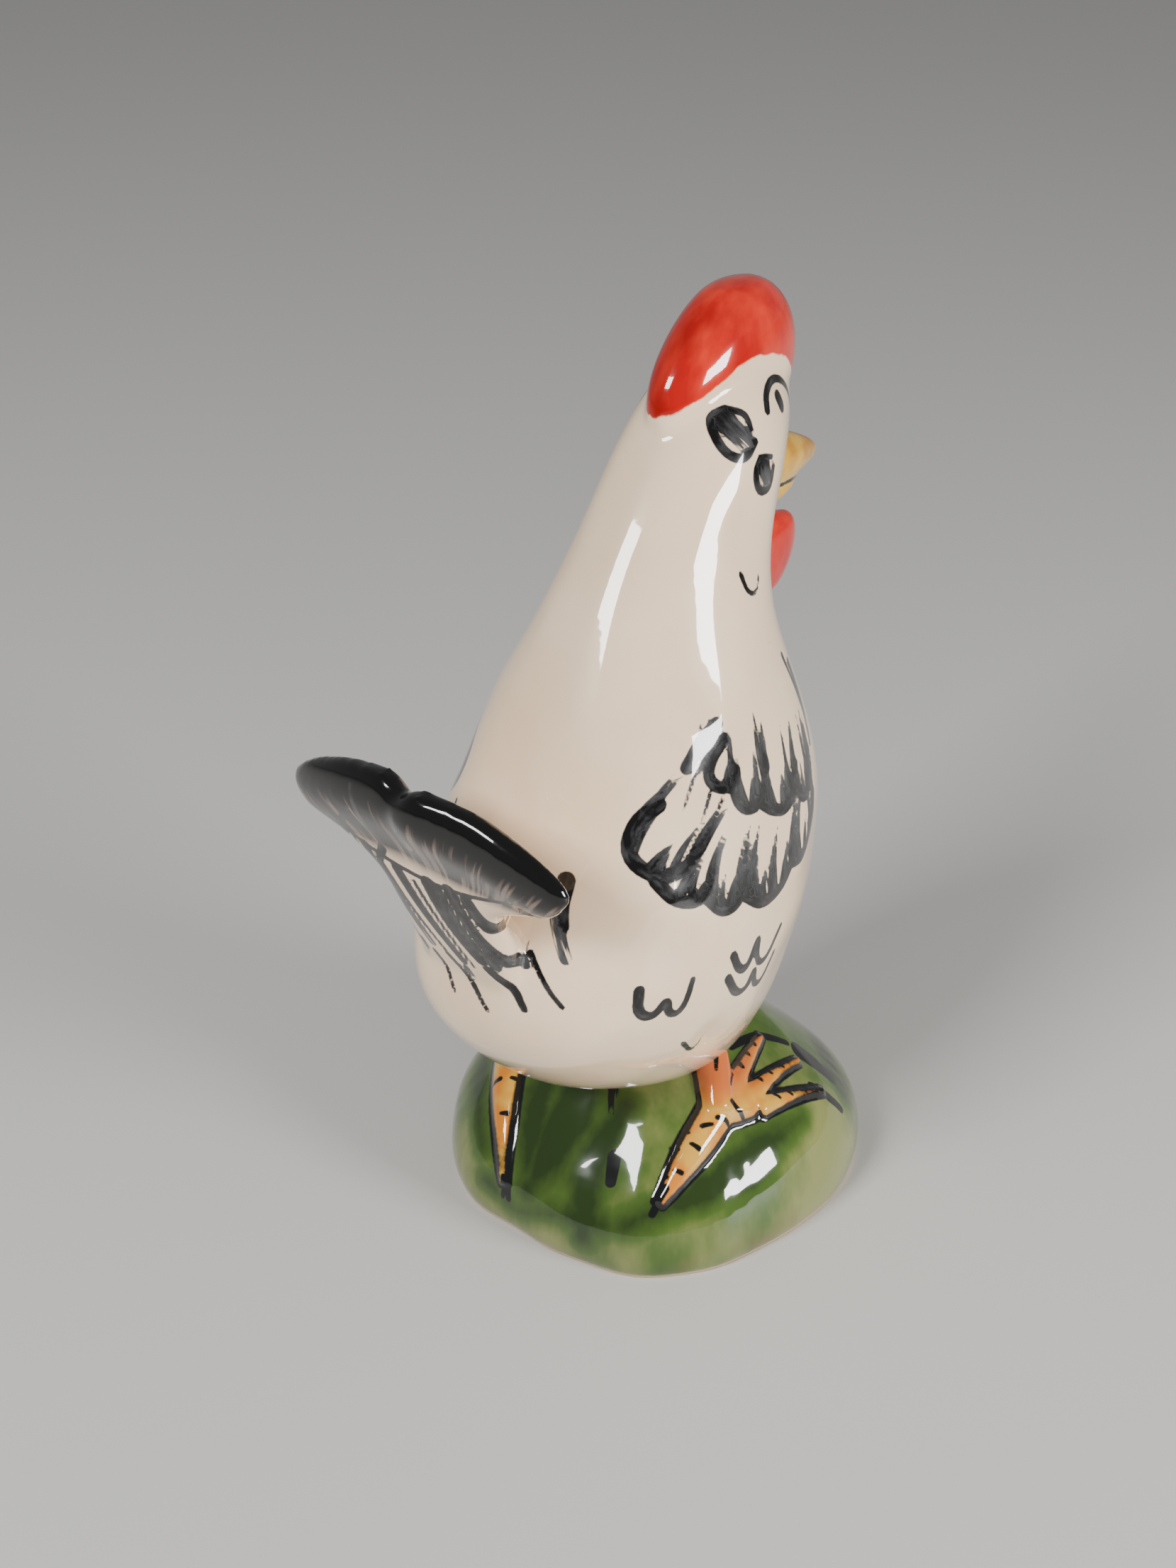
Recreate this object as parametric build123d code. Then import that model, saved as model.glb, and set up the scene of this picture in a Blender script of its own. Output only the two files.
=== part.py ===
from build123d import *
import math
import os

# Hollow slip-cast earthenware hen, standing on a cushion-shaped mound, glazed and hand painted.
# The hen faces -Y, +X is its left and +Z is up. Z = 0 is the foot of the mound, and the origin is
# the middle of the figure's depth. The pieces are luted together with slip before the firing, so
# each one seats face to face on its neighbours and nothing moves.

os.makedirs("parts", exist_ok=True)

# ---- driving dimensions, in millimetres and degrees --------------------------------------------
CAST_WALL = 4.0          # thickness that the slip builds up on the plaster
POUR_HOLE = 14.0         # diameter of the hole in the mound's floor, where the slip is drained
PASSAGE = 10.0           # diameter of the vent from the mound up into the belly

BASE_WIDTH = 84.0        # mound, across the hen
BASE_FRONT = 57.0        # mound's reach ahead of the origin
BASE_REAR = 31.5         # mound's reach behind the origin
BASE_HEIGHT = 40.0       # top of the mound, hidden inside the line of the belly
BASE_SQUARENESS = 2.5    # exponent of the mound's plan: 2 is an ellipse, more is squarer

BODY_FOOT = 26.0         # height of the belly's lowest point
BODY_HEIGHT = 154.0      # belly's lowest point to the crown of the head
BODY_WIDTH = 70.0        # widest, at the wings
BODY_FRONT = 47.0        # breast's reach ahead of the origin
BODY_REAR = 50.0         # rump's reach behind the origin

COMB_HEIGHT = 24.5       # lowest point of the comb's seat to its top
COMB_BELOW = 12.0        # comb's seat below the crown of the head
COMB_PROUD = 2.5         # comb's face ahead of the brow and behind the nape
COMB_WIDTH = 18.0        # comb across its seat

BEAK_BELOW = 32.5        # mouth line below the crown of the head
BEAK_LENGTH = 22.0       # mouth line, face to tip
BEAK_WIDTH = 13.0        # across at the face
UPPER_BEAK = 13.5        # upper half's height at the face
LOWER_BEAK = 5.0         # lower half's height at the face
LOWER_SHORT = 6.0        # lower half's tip behind the upper one's
BEAK_HOOK = 1.0          # tip's drop below the line of the mouth

WATTLE_LENGTH = 20.0     # top to bottom
WATTLE_REACH = 12.0      # proud of the throat
WATTLE_WIDTH = 15.0      # across both lobes
WATTLE_GAP = 0.2         # between the wattles and the beak above them

TAIL_WIDTH = 68.0        # tip to tip
TAIL_TOP = 126.0         # height of the rim at its middle
TAIL_TIP_DROP = 9.0      # tips below the middle of the rim
TAIL_RISE = 60.0         # hidden root to the top of the rim
TAIL_REACH = 62.0        # rim's back behind the origin
TAIL_RIM = 6.5           # thickness of the rolled rim
TAIL_ROOT = 12.5         # half width of the fan at its root
TAIL_FLARE = 20.0        # height below the rim's top where the fan starts to widen
TAIL_SWEEP = 130.0       # radius of the fan's curve in plan, tips forward
TAIL_NOTCH = 3.0         # radius of the notch between the two sheaves of feathers
TAIL_TIP_ROUND = 4.0     # rounding of the fan's two tips

ANKLE_SPREAD = 25.5      # ankle to the mid-plane
ANKLE_BACK = 1.5         # ankle behind the origin
KNEE_SPREAD = 14.0       # hidden top of the shank to the mid-plane
KNEE_FORWARD = 8.0       # hidden top of the shank ahead of the origin
KNEE_HEIGHT = 42.0       # hidden top of the shank
ANKLE_RADIUS = 4.4       # knuckle where the toes meet
SHANK_RADIUS = 3.4       # just above the knuckle
THIGH_RADIUS = 4.2       # at the belly
TOE_RADIUS = 2.8         # toes and spur at the ankle
TOE_TIP_RADIUS = 1.2     # toes and spur at the tip

# Tips of the toes and of the spur from the ankle, in plan: (inward, forward)
TOE_TIPS = ((4.0, 19.0), (-2.0, 24.0), (-8.0, 25.0))
RIGHT_SPUR = (0.0, -19.0)
LEFT_SPUR = (14.0, -24.0)

# Outlines from the bottom up, as shares of the driving dimensions:
# (height, front, rear, half width, nose). A negative rear lies ahead of the origin, and nose is
# how much narrower than an oval the section is at its front.
BODY_SHAPE = (
    (0.000, 0.52, -0.21, 0.15, 0.00),
    (0.045, 0.68, 0.24, 0.54, 0.00),
    (0.110, 0.77, 0.60, 0.71, 0.00),
    (0.175, 0.84, 0.785, 0.85, 0.00),
    (0.255, 0.92, 1.00, 0.955, 0.00),
    (0.345, 1.00, 0.99, 1.00, 0.00),
    (0.435, 0.99, 0.82, 0.97, 0.00),
    (0.525, 0.90, 0.64, 0.90, 0.00),
    (0.615, 0.79, 0.475, 0.75, 0.00),
    (0.705, 0.71, 0.305, 0.57, 0.05),
    (0.795, 0.84, 0.145, 0.46, 0.22),
    (0.870, 0.98, -0.03, 0.46, 0.30),
    (0.935, 0.99, -0.195, 0.38, 0.28),
    (0.980, 0.93, -0.33, 0.27, 0.15),
    (1.000, 0.82, -0.445, 0.13, 0.00),
)
BASE_SHAPE = (
    (0.00, 0.97, 0.96, 0.97, 0.00),
    (0.07, 1.00, 1.00, 1.00, 0.00),
    (0.22, 0.98, 0.98, 0.99, 0.00),
    (0.38, 0.91, 0.90, 0.96, 0.00),
    (0.54, 0.81, 0.72, 0.87, 0.00),
    (0.70, 0.69, 0.51, 0.70, 0.00),
    (0.85, 0.59, 0.30, 0.52, 0.00),
    (1.00, 0.48, 0.12, 0.36, 0.00),
)
# The comb's front and rear are shares of the reach from its middle to its faces.
COMB_SHAPE = (
    (0.00, 0.97, 0.80, 0.80, 0.10),
    (0.20, 1.00, 0.90, 0.95, 0.10),
    (0.45, 0.98, 0.74, 1.00, 0.10),
    (0.70, 0.89, 0.45, 0.88, 0.10),
    (0.88, 0.72, 0.15, 0.66, 0.05),
    (1.00, 0.40, -0.10, 0.28, 0.00),
)

# Sections of a beak half, from its root to its tip: (share of its length, share of its size)
BEAK_SHAPE = ((0.00, 1.00), (0.45, 0.86), (0.80, 0.50), (1.00, 0.16))
BEAK_SHOULDER = (0.8, 0.6)   # fullest point of the arch: (share of half width, share of height)

# Sections of a wattle from its foot up: (height, reach, width), each a share
WATTLE_SHAPE = (
    (0.00, 0.35, 0.35), (0.25, 0.85, 0.85), (0.50, 1.00, 1.00), (0.80, 0.90, 0.80), (1.00, 0.70, 0.50),
)

# The tail's profile: (inward of the rim's back in rim thicknesses, below its top as a share of the
# rise), as a smooth back, a rolled lip, a smooth face, and straight lines hidden in the body.
TAIL_BACK = ((3.46, 1.00), (1.74, 0.67), (1.20, 0.43), (0.92, 0.28))
TAIL_ROLL = ((0.92, 0.28), (0.00, 0.14), (0.43, 0.00), (1.00, 0.08))
TAIL_FACE = ((1.00, 0.08), (1.62, 0.30), (3.85, 0.53))
TAIL_HIDDEN = ((3.85, 0.53), (5.54, 1.00), (3.46, 1.00))

SECTION_POINTS = 16          # around each outline
MOUND_STEP = 0.25            # fineness of the search for the mound's surface
DOME = 1.04                  # domed end of a rod against the rod's radius


def section(height, front, rear, half_width, nose, squareness=2.1, x=0.0):
    """A closed horizontal outline from front to rear, as a face."""
    middle, half_depth = (front - rear) / 2, (front + rear) / 2
    points = []
    for i in range(SECTION_POINTS):
        turn = 2 * math.pi * i / SECTION_POINTS
        ahead = math.copysign(abs(math.cos(turn)) ** (2 / squareness), math.cos(turn))
        aside = math.copysign(abs(math.sin(turn)) ** (2 / squareness), math.sin(turn))
        narrower = 1 - nose * max(0.0, ahead)
        points.append((x + half_width * aside * narrower, -middle - half_depth * ahead))
    return Plane.XY.offset(height) * make_face(Spline(*points, periodic=True))


def rings(shape, foot, height, front, rear, width, wall=0.0):
    """An outline's sections in millimetres, drawn in by a wall."""
    return [
        (foot + height * h, front * f - wall, rear * r - wall, width / 2 * w - wall, nose)
        for h, f, r, w, nose in shape
    ]


def cast(sections, squareness=2.1):
    return loft([section(*ring, squareness) for ring in sections])


def level(sections, height):
    """The outline's section at a height, on a straight line between its neighbours."""
    for low, high in zip(sections, sections[1:]):
        if low[0] <= height <= high[0]:
            share = (height - low[0]) / (high[0] - low[0])
            return tuple(a + (b - a) * share for a, b in zip(low, high))
    return sections[0] if height < sections[0][0] else sections[-1]


def between(sections, low, high):
    """The sections from one height to another, with a new one at each end."""
    inner = [ring for ring in sections if low < ring[0] < high]
    return [level(sections, low), *inner, level(sections, high)]


def rod(start, end, start_radius, end_radius):
    """A round tapered rod with domed ends."""
    start, end = Vector(*start), Vector(*end)
    along = end - start
    cone = Cone(start_radius, end_radius, along.length, align=(Align.CENTER, Align.CENTER, Align.MIN))
    domes = Pos(*start) * Sphere(start_radius * DOME) + Pos(*end) * Sphere(end_radius * DOME)
    return Plane(origin=start, z_dir=along) * cone + domes


# ---- body: belly, back, neck and head, one hollow casting --------------------------------------
body_size = (BODY_FOOT, BODY_HEIGHT, BODY_FRONT, BODY_REAR, BODY_WIDTH)
body_rings = rings(BODY_SHAPE, *body_size)
body_crown = BODY_FOOT + BODY_HEIGHT
body_outer = cast(body_rings)
body_hollow_rings = rings(BODY_SHAPE, *body_size, CAST_WALL)
body_hollow = cast(between(body_hollow_rings, BODY_FOOT + 1.5 * CAST_WALL, body_crown - 2 * CAST_WALL))
belly_front, belly_rear = level(body_rings, BODY_FOOT)[1:3]
belly_middle = (belly_front - belly_rear) / 2
passage = Pos(0, -belly_middle, BODY_FOOT) * Cylinder(PASSAGE / 2, 4 * CAST_WALL)
body_shell = body_outer - body_hollow - passage

# ---- mound: cushion-shaped hollow casting, with a floor and the pour hole in it -----------------
base_size = (0, BASE_HEIGHT, BASE_FRONT, BASE_REAR, BASE_WIDTH)
base_rings = rings(BASE_SHAPE, *base_size)
base_outer = cast(base_rings, BASE_SQUARENESS)
base_hollow_rings = rings(BASE_SHAPE, *base_size, CAST_WALL)
base_roof = BODY_FOOT - CAST_WALL
base_hollow = cast(between(base_hollow_rings, CAST_WALL, base_roof), BASE_SQUARENESS)
base_middle = (BASE_FRONT - BASE_REAR) / 2
pour_hole = Pos(0, -base_middle, CAST_WALL / 2) * Cylinder(POUR_HOLE / 2, 2 * CAST_WALL)
base_mound = base_outer - base_hollow - pour_hole - passage - body_outer

# ---- comb: solid pressed crest, from the nape over the crown to the brow ------------------------
comb_foot = body_crown - COMB_BELOW
comb_seat = level(body_rings, comb_foot)
comb_middle = (comb_seat[1] - comb_seat[2]) / 2
comb_reach = (comb_seat[1] + comb_seat[2]) / 2 + COMB_PROUD
comb_block = cast([
    (h, comb_middle + f, r - comb_middle, w, nose)
    for h, f, r, w, nose in rings(COMB_SHAPE, comb_foot, COMB_HEIGHT, comb_reach, comb_reach, COMB_WIDTH)
])
comb = comb_block - body_outer

# ---- beak: two pinched halves that close on the line of the mouth -------------------------------
mouth = body_crown - BEAK_BELOW
face = level(body_rings, mouth)[1]
beak_root = face - CAST_WALL


def beak_half(depth, length, drop):
    """Half a beak, from its root inside the face to its tip, up for a positive depth."""
    sections = []
    for along, size in BEAK_SHAPE:
        reach = beak_root + (length + CAST_WALL) * along
        half_width = BEAK_WIDTH / 2 * size
        rise = depth * size
        sag = drop * along ** 2
        shoulder, high = BEAK_SHOULDER[0] * half_width, BEAK_SHOULDER[1] * rise - sag
        arch = Spline(
            (-half_width, -sag), (-shoulder, high), (0, rise - sag), (shoulder, high), (half_width, -sag)
        )
        line = Line((half_width, -sag), (-half_width, -sag))
        plane = Plane(origin=(0, -reach, mouth), x_dir=(1, 0, 0), z_dir=(0, -1, 0))
        sections.append(plane * make_face(arch + line))
    return loft(sections)


upper_beak = beak_half(UPPER_BEAK, BEAK_LENGTH, BEAK_HOOK) - body_outer
lower_beak = beak_half(-LOWER_BEAK, BEAK_LENGTH - LOWER_SHORT, 0.0) - body_outer - upper_beak

# ---- wattles: two pressed drops side by side on the throat, under the lower half of the beak ----
wattle_top = mouth - LOWER_BEAK - WATTLE_GAP
wattle_foot = wattle_top - WATTLE_LENGTH
wattle_sections = []
for h, reach, width in WATTLE_SHAPE:
    height = wattle_foot + WATTLE_LENGTH * h
    throat = level(body_rings, height)[1]
    lobe = WATTLE_WIDTH / 4 * width
    front = throat + WATTLE_REACH * reach
    wattle_sections.append(section(height, front, CAST_WALL - throat, lobe, 0.0, x=lobe))
wattle_block = loft(wattle_sections)
left_wattle = wattle_block - body_outer
right_wattle = mirror(wattle_block, Plane.YZ) - body_outer

# ---- tail: upright fan with a rolled rim, curved forward at its tips ----------------------------


def down_the_tail(shape):
    """Points of the profile in millimetres, as (behind the origin, height)."""
    return [(TAIL_REACH - TAIL_RIM * inward, TAIL_TOP - TAIL_RISE * below) for inward, below in shape]


profile = Plane.YZ * make_face(
    Spline(*down_the_tail(TAIL_BACK))
    + Spline(*down_the_tail(TAIL_ROLL))
    + Spline(*down_the_tail(TAIL_FACE))
    + Polyline(*down_the_tail(TAIL_HIDDEN))
)
sweep_axis = Axis((0, TAIL_REACH - TAIL_SWEEP, 0), (0, 0, 1))
sweep_angle = 2 * math.degrees(math.asin(TAIL_WIDTH / 2 / (TAIL_SWEEP - 2 * TAIL_RIM)))
swept = revolve(profile.rotate(sweep_axis, -sweep_angle / 2), sweep_axis, sweep_angle)

# Front view of half the fan: straight stem, flare, round tip, and the rim's gentle crown.
half_tail = TAIL_WIDTH / 2
tail_root = TAIL_TOP - TAIL_RISE
tip_height = TAIL_TOP - TAIL_TIP_DROP
crown = (0, TAIL_TOP + 1)
stem_top = (TAIL_ROOT, TAIL_TOP - 1.5 * TAIL_FLARE)
tip_under = (half_tail - 0.75 * TAIL_TIP_ROUND, tip_height - 2 * TAIL_TIP_ROUND)
tip_side = (half_tail, tip_height - 0.9 * TAIL_TIP_ROUND)
tip_over = (half_tail - 0.75 * TAIL_TIP_ROUND, tip_height)
flare_middle = (0.55 * half_tail, TAIL_TOP - 1.15 * TAIL_FLARE)
half_face = make_face(
    Line((TAIL_ROOT, tail_root), stem_top)
    + Spline(stem_top, flare_middle, tip_under, tangents=((0, 1), (1, 0.6)))
    + ThreePointArc(tip_under, tip_side, tip_over)
    + ThreePointArc(tip_over, (half_tail / 2, TAIL_TOP - 2), crown)
    + Polyline(crown, (0, tail_root), (TAIL_ROOT, tail_root))
)
outline = Plane.XZ * (half_face + mirror(half_face, Plane.YZ))
cutter = extrude(outline, amount=TAIL_REACH * 1.5, both=True)
notch = Pos(0, TAIL_REACH, crown[1]) * Rot(60, 0, 0) * Cylinder(TAIL_NOTCH, TAIL_RIM * 4)
tail_fan = (swept & cutter) - notch - body_outer

# ---- legs and feet: coils and sprigs of clay, pressed on the mound ------------------------------


def mound_height(x, y):
    """Height of the mound's surface above a place in plan."""
    height = BASE_HEIGHT
    while height > 0:
        _, front, rear, half_width, _ = level(base_rings, height)
        ahead = abs(-y - (front - rear) / 2) / ((front + rear) / 2)
        if ahead ** BASE_SQUARENESS + abs(x / half_width) ** BASE_SQUARENESS <= 1:
            return height
        height -= MOUND_STEP
    return 0.0


def on_mound(side, inward, forward):
    x, y = side * (ANKLE_SPREAD - inward), ANKLE_BACK - forward
    return (x, y, mound_height(x, y))


def leg(side, spur):
    """The foot with its toes and spur, and the shank above it."""
    ankle = on_mound(side, 0, 0)
    knee = (side * KNEE_SPREAD, -KNEE_FORWARD, KNEE_HEIGHT)
    foot = Pos(*ankle) * Sphere(ANKLE_RADIUS) - base_outer
    for inward, forward in (*TOE_TIPS, spur):
        middle = on_mound(side, inward / 2, forward / 2)
        tip = on_mound(side, inward, forward)
        middle_radius = (TOE_RADIUS + TOE_TIP_RADIUS) / 2
        toe = rod(ankle, middle, TOE_RADIUS, middle_radius) + rod(middle, tip, middle_radius, TOE_TIP_RADIUS)
        foot += toe - base_outer
    foot = foot - body_outer
    shank = rod(ankle, knee, SHANK_RADIUS, THIGH_RADIUS) - foot - base_outer - body_outer
    return foot, shank


left_foot, left_shank = leg(1, LEFT_SPUR)
right_foot, right_shank = leg(-1, RIGHT_SPUR)

nodes = {
    "body_shell": body_shell,
    "base_mound": base_mound,
    "comb": comb,
    "upper_beak": upper_beak,
    "lower_beak": lower_beak,
    "left_wattle": left_wattle,
    "right_wattle": right_wattle,
    "tail_fan": tail_fan,
    "left_shank": left_shank,
    "right_shank": right_shank,
    "left_foot": left_foot,
    "right_foot": right_foot,
}
for name, solid in nodes.items():
    export_step(solid, f"parts/{name}.step")
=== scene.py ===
import math

import bmesh
import bpy
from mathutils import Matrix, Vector
from mathutils.bvhtree import BVHTree
from mathutils.kdtree import KDTree


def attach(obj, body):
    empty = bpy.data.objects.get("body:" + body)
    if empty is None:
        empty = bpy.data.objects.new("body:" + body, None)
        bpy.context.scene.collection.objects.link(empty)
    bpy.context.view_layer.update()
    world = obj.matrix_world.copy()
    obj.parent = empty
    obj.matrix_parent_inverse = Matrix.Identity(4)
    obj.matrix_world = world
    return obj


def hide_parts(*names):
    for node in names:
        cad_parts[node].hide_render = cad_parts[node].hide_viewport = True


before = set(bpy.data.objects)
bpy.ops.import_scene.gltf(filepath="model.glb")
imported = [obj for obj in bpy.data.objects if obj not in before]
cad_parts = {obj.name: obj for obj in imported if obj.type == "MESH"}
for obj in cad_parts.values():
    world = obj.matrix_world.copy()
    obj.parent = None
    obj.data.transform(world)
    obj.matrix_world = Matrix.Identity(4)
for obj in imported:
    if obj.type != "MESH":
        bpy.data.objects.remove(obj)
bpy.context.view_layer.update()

# ---- Body ------------------------------------------------------------------------------------
# The hollow slip casting of belly, back, neck and head, in cream earthenware. It comes out of its
# plaster mould as one closed egg-like form, and everything else of the hen is luted onto it.

mm = 0.001


def clay_form(name, slices, around=36, squareness=2.0):
    """A closed form drawn up slice by slice: each is (height, front, rear, half width) in mm."""
    bpy.ops.object.select_all(action="DESELECT")
    bpy.ops.mesh.primitive_circle_add(vertices=around, radius=mm, fill_type="NGON")
    form = bpy.context.object
    form.name = name
    for vert in form.data.vertices:
        for axis in (0, 1):
            share = vert.co[axis] / mm
            vert.co[axis] = math.copysign(abs(share) ** (2 / squareness), share) * mm
    height, front, rear, half = slices[0]
    depth, middle = (front + rear) / 2, (rear - front) / 2
    bpy.ops.object.mode_set(mode="EDIT")
    bpy.ops.mesh.select_all(action="SELECT")
    bpy.ops.transform.resize(value=(half, depth, 1), center_override=(0, 0, 0))
    bpy.ops.transform.translate(value=(0, middle * mm, height * mm))
    for next_height, front, rear, next_half in slices[1:]:
        next_depth, next_middle = (front + rear) / 2, (rear - front) / 2
        step = (0, (next_middle - middle) * mm, (next_height - height) * mm)
        bpy.ops.mesh.extrude_region_move(TRANSFORM_OT_translate={"value": step})
        bpy.ops.transform.resize(
            value=(next_half / half, next_depth / depth, 1),
            center_override=(0, next_middle * mm, next_height * mm),
        )
        height, half, depth, middle = next_height, next_half, next_depth, next_middle
    bpy.ops.mesh.select_all(action="SELECT")
    bpy.ops.mesh.normals_make_consistent(inside=False)
    bpy.ops.object.mode_set(mode="OBJECT")
    return form


def finish_with(form, kind, **settings):
    """Puts one modifier on a form and applies it."""
    bpy.ops.object.select_all(action="DESELECT")
    form.select_set(True)
    bpy.context.view_layer.objects.active = form
    modifier = form.modifiers.new(kind.title(), kind)
    for name, value in settings.items():
        setattr(modifier, name, value)
    bpy.ops.object.modifier_apply(modifier=modifier.name)


def rounded(form, levels=2):
    finish_with(form, "SUBSURF", levels=levels, render_levels=levels)


def ease(low, high, value):
    """0 below low, 1 above high, and an even curve between them."""
    share = min(1.0, max(0.0, (value - low) / (high - low)))
    return share * share * (3 - 2 * share)


body_clay = clay_form("body_clay", (
    (26, 24, -11, 6), (29, 28.5, 0, 12.5), (33, 32, 12, 19), (43, 36.5, 30.5, 25.2), (53, 40, 40, 30.2),
    (65, 43.5, 50, 33.6), (79, 47, 49.8, 35), (93, 46.5, 41, 34), (107, 42.5, 32, 31.5), (121, 37, 24, 26.5),
    (135, 33.5, 15.5, 20), (148, 39, 7.5, 16), (160, 46, -1.5, 16), (170, 46.5, -9.5, 13.5),
    (177, 44, -16, 9.5), (180, 38, -22, 4.5),
))
for vert in body_clay.data.vertices:
    x, forward, height = vert.co.x / mm, -vert.co.y / mm, vert.co.z / mm
    narrower = 0.30 * ease(132, 158, height) * ease(20, 46, forward)
    vert.co.x = x * (1 - narrower) * mm
rounded(body_clay)

# Thumbed hollows on both flanks, as (forward, height, spread, depth); the wings stand a little proud.
for vert in body_clay.data.vertices:
    forward, height, depth = -vert.co.y / mm, vert.co.z / mm, 0.0
    for at, up, spread, deep in (
        (2, 103, 17, -1.1), (-17, 101, 9, -0.7), (-20, 84, 8, 0.9), (4, 78, 9, 0.7),
        (-26, 62, 9, 0.8), (-8, 57, 8, -0.7), (14, 60, 9, 0.8), (-36, 76, 8, -0.6),
        (-4, 128, 10, 0.6), (20, 126, 9, -0.6), (-17, 47, 7, 0.6), (24, 84, 8, 0.6),
    ):
        depth += deep * math.exp(-((forward - at) ** 2 + (height - up) ** 2) / spread ** 2)
    vert.co.x -= math.copysign(depth, vert.co.x) * ease(4, 14, abs(vert.co.x) / mm) * mm

# ---- Comb ------------------------------------------------------------------------------------
# A pressed crest of solid clay, luted on from the nape over the crown to the brow. The soft flutes
# where the maker's thumb drew up its flanks are not drawn here: the form is left smooth.

comb_clay = clay_form("comb_clay", (
    (166, 46, -9, 6.5), (170, 48.3, -7.5, 8), (175, 48.8, -8, 8.8), (180, 48, -11, 8.8),
    (185, 45.8, -15.5, 7.8), (189, 42, -20.5, 6), (192, 36.5, -25, 3.2),
), around=32)
rounded(comb_clay)

# ---- Tail ------------------------------------------------------------------------------------
# A press-moulded fan of two sheaves of feathers, with a thick rolled rim. It is luted upright on
# the rump and stands on a narrow root, and its tips sweep down and forward.

TAIL_TIP = 33
tail_clay = clay_form("tail_clay", (
    (62, -24, 41, 12), (76, -34, 47, 12), (88, -42, 51.5, 12), (95, -46, 54, 12.5), (100, -48.5, 55.3, 14),
    (103, -49.8, 56, 17), (107, -51.2, 56.8, 22.5), (111, -52.4, 58.4, 26.5), (115, -54.2, 60.8, 29.5),
    (119, -55.4, 62.4, 31.5), (123, -56, 62, 34), (126.5, -57.4, 60.4, 32),
), around=44, squareness=3.2)
rounded(tail_clay)
for vert in tail_clay.data.vertices:
    x, back, height = (c / mm for c in vert.co)
    flare = ease(90, 118, height) * (x / TAIL_TIP) ** 2
    near_rim = ease(104, 122, height)
    sheaf = 1.6 * near_rim * ease(1.2, -0.6, x) * ease(-16, -3, x)
    notch = 2.6 * ease(118, 126, height) * ease(4.5, 0.5, abs(x - 0.6))
    vert.co.y = (back - 4.0 * flare + sheaf) * mm
    vert.co.z = (height - 10.0 * flare - notch) * mm

# ---- Beak ------------------------------------------------------------------------------------
# Two pinched halves of solid clay that close on the line of the mouth, luted to the face.

def tapered(name, sections, place, tilt):
    """A form drawn out forward from a root: sections are (length, half width, half height) in mm."""
    slices = [(length, high, high, wide) for length, wide, high in sections]
    form = clay_form(name, slices, around=20)
    lean = math.radians(tilt)
    for vert in form.data.vertices:
        across, up, out = vert.co
        vert.co.x = across
        vert.co.y = place[1] * mm - out * math.cos(lean) + up * math.sin(lean)
        vert.co.z = place[2] * mm + out * math.sin(lean) + up * math.cos(lean)
    rounded(form)
    return form


upper_beak_clay = tapered(
    "upper_beak_clay", ((0, 6.5, 6.5), (8, 6, 6), (14, 4.6, 4.8), (20, 2.6, 3.2), (24.5, 1.0, 1.4)),
    place=(0, -37, 154), tilt=-11,
)
lower_beak_clay = tapered(
    "lower_beak_clay", ((0, 5.5, 3.2), (8, 5, 3), (13, 3.6, 2.2), (17.5, 1.4, 1.1)),
    place=(0, -36, 146.5), tilt=-1,
)

# ---- Wattles ---------------------------------------------------------------------------------
# Two pressed drops of clay, side by side on the throat, one for each side of the face.

WATTLE_SPREAD = 3.4
wattle_clay = {}
for side, word in ((1, "left"), (-1, "right")):
    lobe = clay_form(f"{word}_wattle_clay", (
        (125, 43, -36, 1.2), (128, 46, -32, 2.8), (133, 49, -28, 3.9), (138, 49.8, -28, 3.8),
        (143, 48, -30, 2.6),
    ), around=20)
    for vert in lobe.data.vertices:
        vert.co.x += side * WATTLE_SPREAD * mm
    rounded(lobe)
    wattle_clay[word] = lobe

# ---- Luting the hen --------------------------------------------------------------------------
# The leather-hard pieces are scored, stuck with slip and sponged over, so their joints disappear
# in soft hollows. One skin is wrapped around them all, and later cut where each piece ends.

bird_clay = {
    "body": body_clay, "comb": comb_clay, "tail": tail_clay,
    "upper_beak": upper_beak_clay, "lower_beak": lower_beak_clay,
    "left_wattle": wattle_clay["left"], "right_wattle": wattle_clay["right"],
}


def lute(name, clay, grain, sponging):
    """One even skin around several clay forms, with its joints smoothed."""
    bpy.ops.object.select_all(action="DESELECT")
    copies = []
    for form in clay.values():
        copy = form.copy()
        copy.data = form.data.copy()
        bpy.context.collection.objects.link(copy)
        copy.select_set(True)
        copies.append(copy)
    bpy.context.view_layer.objects.active = copies[0]
    bpy.ops.object.join()
    skin = bpy.context.object
    skin.name = name
    finish_with(skin, "REMESH", mode="VOXEL", voxel_size=grain * mm, adaptivity=0)
    finish_with(skin, "SMOOTH", factor=0.5, iterations=sponging)
    return skin


bird_skin = lute("bird_skin", bird_clay, grain=0.8, sponging=14)
bird_trees = {
    part: BVHTree.FromObject(form, bpy.context.evaluated_depsgraph_get()) for part, form in bird_clay.items()
}


def put(skin, name, values, kind="FLOAT"):
    """Stores one value for each vertex as a named attribute."""
    attribute = skin.data.attributes.new(name, kind, "POINT")
    if kind == "FLOAT":
        attribute.data.foreach_set("value", values)
    else:
        attribute.data.foreach_set("vector", [number for vector in values for number in vector])


def nearness(skin, trees):
    """For each vertex of a skin, its distance in mm to each of the raw forms it was made from."""
    table = {part: [] for part in trees}
    for vert in skin.data.vertices:
        for part, tree in trees.items():
            table[part].append(tree.find_nearest(vert.co)[3] / mm)
    return table


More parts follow.
